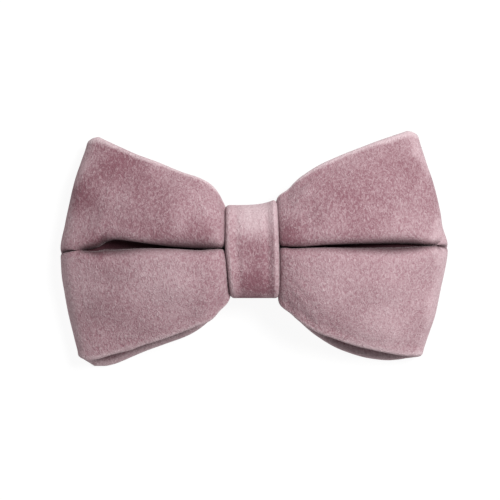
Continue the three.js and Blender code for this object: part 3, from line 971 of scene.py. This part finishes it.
def velvet(name, spots_with_painted_light, rim_highlight):
    shader = Shader(
        name,
        Roughness=0.95,
        Specular_IOR_Level=SPECULAR,
        Sheen_Weight=SHEEN_WEIGHT,
        Sheen_Roughness=SHEEN_ROUGHNESS,
        Sheen_Tint=PILE_SHEEN,
    )
    where = shader.place()
    strokes = shader.stretched(where, STROKES)
    patches = shader.noise(where, PATCH_SCALE, 2.0, 0.5, 0.5)
    mottle = shader.noise(strokes, MOTTLE_SCALE, 2.0, 0.6, 1.2)
    clumps = shader.noise(strokes, CLUMP_SCALE, 1.0, 0.6, 1.0)
    tips = shader.noise(where, TIP_SCALE, 1.0, 0.5)
    lay_and_painted_light = 0.5 + (patches - 0.5) * PATCH_LAY + (mottle - 0.5) * MOTTLE_LAY
    flat = shader.add("ShaderNodeVectorMath", {"operation": "MULTIPLY"}, {0: where, 1: (1.0, 1.0, 0.0)})
    wander = (patches - 0.5) * (SPOT_WANDER * MM)
    # Each row adds a spot of tone or of painted light and shade.
    for row in spots_with_painted_light:
        spot = dict(zip(SPOT_COLUMNS, row))
        centre = (spot["x"] * MM, spot["y"] * MM, 0.0)
        away = shader.add("ShaderNodeVectorMath", {"operation": "DISTANCE"}, {0: flat, 1: centre}, "Value")
        lay_and_painted_light = lay_and_painted_light + shader.add("ShaderNodeMapRange", {"interpolation_type": "SMOOTHERSTEP"}, {
            "Value": away + wander,
            "From Min": spot["from"] * MM,
            "From Max": spot["to"] * MM,
            "To Max": spot["amount"],
        })
    base = shader.blend(lay_and_painted_light.clamped(), PILE_DEEP, PILE_MIDDLE)
    grain = GRAIN_MIDDLE + (clumps - 0.5) * CLUMP_GRAIN + (tips - 0.5) * TIP_GRAIN
    # Painted highlight: the rim mark mixes in the pale colour along the rims.
    grain_and_painted_light = grain + shader.mark("rim") * rim_highlight + (lay_and_painted_light - 0.5) * LAY_AND_PAINTED_LIGHT_PALE
    pile_with_painted_highlight = shader.blend(grain_and_painted_light.clamped(), base, PILE_PALE)
    # Painted shade: the fold mark blends the colour to nearly black deep in the pleat and along its crease.
    shader.feed(Base_Color=shader.blend(shader.mark("fold"), pile_with_painted_highlight, PILE_PAINTED_SHADE))
    lean = shader.bump(mottle, *MOTTLE_BUMP)
    pile = shader.bump(clumps, *CLUMP_BUMP, lean)
    shader.feed(Normal=shader.bump(tips, *TIP_BUMP, pile))
    return shader.material


band.data.materials.append(velvet("band_velvet", BAND_SPOTS_AND_PAINTED_LIGHT, BAND_RIM_HIGHLIGHT))
wrap.data.materials.append(velvet("wrap_velvet", WRAP_PAINTED_LIGHT, WRAP_RIM_HIGHLIGHT))
print("velvet on", band.name, "and", wrap.name)

# %% [markdown]
# Woven elastic has rubber cords along it, wrapped in fine yarn, so it is ribbed lengthwise and has a
# close grain across. The ribs repeat, so Geometry Nodes pushes the plain strip out along its normals in
# even waves. The yarn is far finer and stays in the material.

# %% Elastic ribs
ELASTIC_DARK = (0.120, 0.058, 0.070, 1)
ELASTIC_PALE = (0.330, 0.190, 0.215, 1)
YARN_WAVES = 15000.0
YARN_WAVER = 3.0
WAVER_SCALE = 500.0
FIBRE_STRETCH = (1.0, 0.25, 1.0)
FIBRE_SCALE = 4000.0
YARN_BUMP = (0.00012, 0.6)
RIB_PITCH = 0.75
RIB_DEPTH = 0.13


def elastic():
    shader = Shader("keeper_elastic", Roughness=0.85, Specular_IOR_Level=0.3, Sheen_Weight=0.25)
    where = shader.place()
    waver = shader.noise(where, WAVER_SCALE)
    yarn = ((where.part(1) * YARN_WAVES + waver * YARN_WAVER).cosine() + 1) * 0.5
    fibre = shader.noise(shader.stretched(where, FIBRE_STRETCH), FIBRE_SCALE)
    tone = (yarn * 0.5 + fibre * 0.6).clamped()
    shader.feed(Base_Color=shader.blend(tone, ELASTIC_DARK, ELASTIC_PALE))
    shader.feed(Normal=shader.bump(yarn + fibre * 0.5, *YARN_BUMP))
    return shader.material


def rib_grower():
    grower = Grower("ribs", Pitch=RIB_PITCH * MM, Depth=RIB_DEPTH * MM)
    across = grower.add("GeometryNodeInputPosition").part(0)
    wave = (across / grower.given("Pitch") * (2 * math.pi)).cosine()
    outward = grower.add("GeometryNodeInputNormal")
    push = grower.add("ShaderNodeVectorMath", {"operation": "SCALE"}, {
        0: outward, "Scale": (wave - 1) * 0.5 * grower.given("Depth"),
    })
    plain = grower.given("Mesh")
    grower.end(grower.add("GeometryNodeSetPosition", None, {"Geometry": plain, "Offset": push}))
    return grower


keeper = rib_grower().grow("elastic_keeper_ribbed", keeper, elastic())
print("ribs:", len(keeper.data.vertices), "points in the elastic")

# %% [markdown]
# Each tab of the elastic is sewn to the wrap with two short rows of stitches. One stitch is a small
# rounded bar of thread, and Geometry Nodes repeats it along every row, with a slight random turn from a
# fixed seed, as hand-guided stitches have.

# %% Stitches
STITCH_ROWS = [-11.3, -10.1, 10.1, 11.3]
STITCH_SINK = 0.08
STITCH_TURN = 0.12
THREAD_DARK = (0.200, 0.105, 0.125, 1)
THREAD_PALE = (0.420, 0.270, 0.300, 1)
TWIST_STRETCH = (1.0, 0.4, 0.4)
TWIST_SCALE = 6000.0
TWIST_BUMP = (0.0001, 0.5)


def thread():
    shader = Shader("sewing_thread", Roughness=0.6, Sheen_Weight=0.2)
    twist = shader.noise(shader.stretched(shader.place(), TWIST_STRETCH), TWIST_SCALE, 1.0)
    shader.feed(Base_Color=shader.blend(twist, THREAD_DARK, THREAD_PALE))
    shader.feed(Normal=shader.bump(twist, *TWIST_BUMP))
    return shader.material


def stitch_source():
    """A point at the middle of each row, on the outer face of the elastic."""
    ups = np.array(STITCH_ROWS)
    heights = keeper_height(ups) - KEEPER_THICKNESS / 2 + STITCH_SINK
    places = np.stack([np.zeros(len(ups)), WRAP_MIDDLE_UP + ups, heights], axis=1)
    mesh = bpy.data.meshes.new("stitch_rows")
    mesh.from_pydata((places * MM).tolist(), [], [])
    source = bpy.data.objects.new("stitch_rows", mesh)
    scene.collection.objects.link(source)
    return source


def stitch_grower():
    grower = Grower("stitches", Count=7, Span=4.2 * MM, Length=0.95 * MM, Thread=0.22 * MM, Seed=3)
    span = grower.given("Span")
    left = grower.add("ShaderNodeCombineXYZ", None, {0: span * -1.0})
    right = grower.add("ShaderNodeCombineXYZ", None, {0: span})
    row = grower.add("GeometryNodeMeshLine", {"mode": "END_POINTS"}, {
        "Count": grower.given("Count"), "Start Location": left, "Offset": right,
    })
    bar = grower.add("GeometryNodeMeshUVSphere", None, {"Segments": 12, "Rings": 8, "Radius": 0.5})
    size = grower.add("ShaderNodeCombineXYZ", None, {
        0: grower.given("Length"), 1: grower.given("Thread"), 2: grower.given("Thread"),
    })
    bar = grower.add("GeometryNodeTransform", None, {"Geometry": bar, "Scale": size})
    turn = grower.add("FunctionNodeRandomValue", {"data_type": "FLOAT"}, {
        2: -STITCH_TURN, 3: STITCH_TURN, "Seed": grower.given("Seed"),
    }, 1)
    sewn = grower.add("GeometryNodeInstanceOnPoints", None, {
        "Points": row, "Instance": bar, "Rotation": grower.add("ShaderNodeCombineXYZ", None, {2: turn}),
    })
    rows = grower.given("Mesh")
    grower.end(grower.add("GeometryNodeInstanceOnPoints", None, {"Points": rows, "Instance": sewn}))
    return grower


stitches = stitch_grower().grow("keeper_stitches", stitch_source(), thread())
stitches.data.shade_smooth()
print("stitches:", len(stitches.data.polygons), "faces")

# %% [markdown]
# The floor is a plain pale table that glows, as a light table does, so the bow lies on a clean ground
# with only a soft contact shadow. The key light is a large soft disk above the bow and to its upper
# right, which brightens the right wing and leaves the left one deeper, and a weak white surround fills
# the rest.

# %% Floor and lights
WHITE = (1.0, 1.0, 1.0, 1.0)
KEY_FROM = (0.42, 0.28, 0.82)
KEY_DISTANCE = 1.4
KEY_POWER = 26.5
KEY_SIZE = 0.60
FILL = 0.36
FLOOR_GREY = (0.07, 0.07, 0.07, 1.0)
FLOOR_GLOW = 0.92


def floor_plane(half=2.5):
    mesh = bpy.data.meshes.new("floor")
    corners = [(-half, -half, 0), (half, -half, 0), (half, half, 0), (-half, half, 0)]
    mesh.from_pydata(corners, [], [(0, 1, 2, 3)])
    floor = bpy.data.objects.new("floor", mesh)
    scene.collection.objects.link(floor)
    shader = Shader(
        "pale_floor",
        Roughness=0.9,
        Base_Color=FLOOR_GREY,
        Emission_Color=WHITE,
        Emission_Strength=FLOOR_GLOW,
    )
    mesh.materials.append(shader.material)
    return floor


def soft_light(name, heading, distance, size, power):
    data = bpy.data.lights.new(name, "AREA")
    data.shape = "DISK"
    data.size = size
    data.energy = power
    light = bpy.data.objects.new(name, data)
    light.location = Vector(heading).normalized() * distance
    light.rotation_euler = (-light.location).to_track_quat("-Z", "Y").to_euler()
    scene.collection.objects.link(light)


def surround(strength):
    """White to the camera, and a weaker white as light."""
    world = bpy.data.worlds.new("studio")
    world.use_nodes = True
    nodes = Nodes(world.node_tree)
    seen = nodes.add("ShaderNodeLightPath", output="Is Camera Ray")
    background = world.node_tree.nodes["Background"]
    background.inputs["Color"].default_value = WHITE
    nodes.join(seen * (1 - strength) + strength, background.inputs["Strength"])
    scene.world = world


floor = floor_plane()
soft_light("key", KEY_FROM, KEY_DISTANCE, KEY_SIZE, KEY_POWER)
surround(FILL)
scene.view_settings.view_transform = "Standard"
print("key light:", KEY_POWER, "watts at", KEY_DISTANCE, "m")

# %% [markdown]
# The bow is pictured flat, from straight above it. A long lens far off shows almost no perspective, as
# product pictures of such bows do. The lens is worked out so that, at the height it aims at, one pixel of
# the picture is as wide as the size of the bow needs.

# %% Camera
PIXEL = 0.2835
PICTURE = 500
BOW_CENTRE_PIXEL = (254.4, 248.9)
AIM_HEIGHT = 9.0
CAMERA_DISTANCE = 1200.0
SENSOR = 36

camera_data = bpy.data.cameras.new("camera")
camera_data.sensor_width = SENSOR
camera_data.lens = SENSOR * CAMERA_DISTANCE / (PICTURE * PIXEL)
camera = bpy.data.objects.new("camera", camera_data)
camera.location = (
    (PICTURE / 2 - BOW_CENTRE_PIXEL[0]) * PIXEL * MM,
    (BOW_CENTRE_PIXEL[1] - PICTURE / 2) * PIXEL * MM,
    (AIM_HEIGHT + CAMERA_DISTANCE) * MM,
)
scene.collection.objects.link(camera)
scene.camera = camera
print("camera", round(camera_data.lens), "mm lens")

# %% [markdown]
# Each fine piece now rides on the frame's one body and takes the place of its plain CAD node, which is
# hidden.

# %% Hand the pieces to the frame
DRESSED = [
    (band, "bow_band", "band_velvet"),
    (wrap, "knot_wrap", "wrap_velvet"),
    (keeper, "keeper_strip", "keeper_elastic"),
]
for piece, node, slot in DRESSED:
    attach(piece, "root")
    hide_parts(node)
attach(stitches, "root")
print("dressed:", ", ".join(node for _, node, _ in DRESSED))
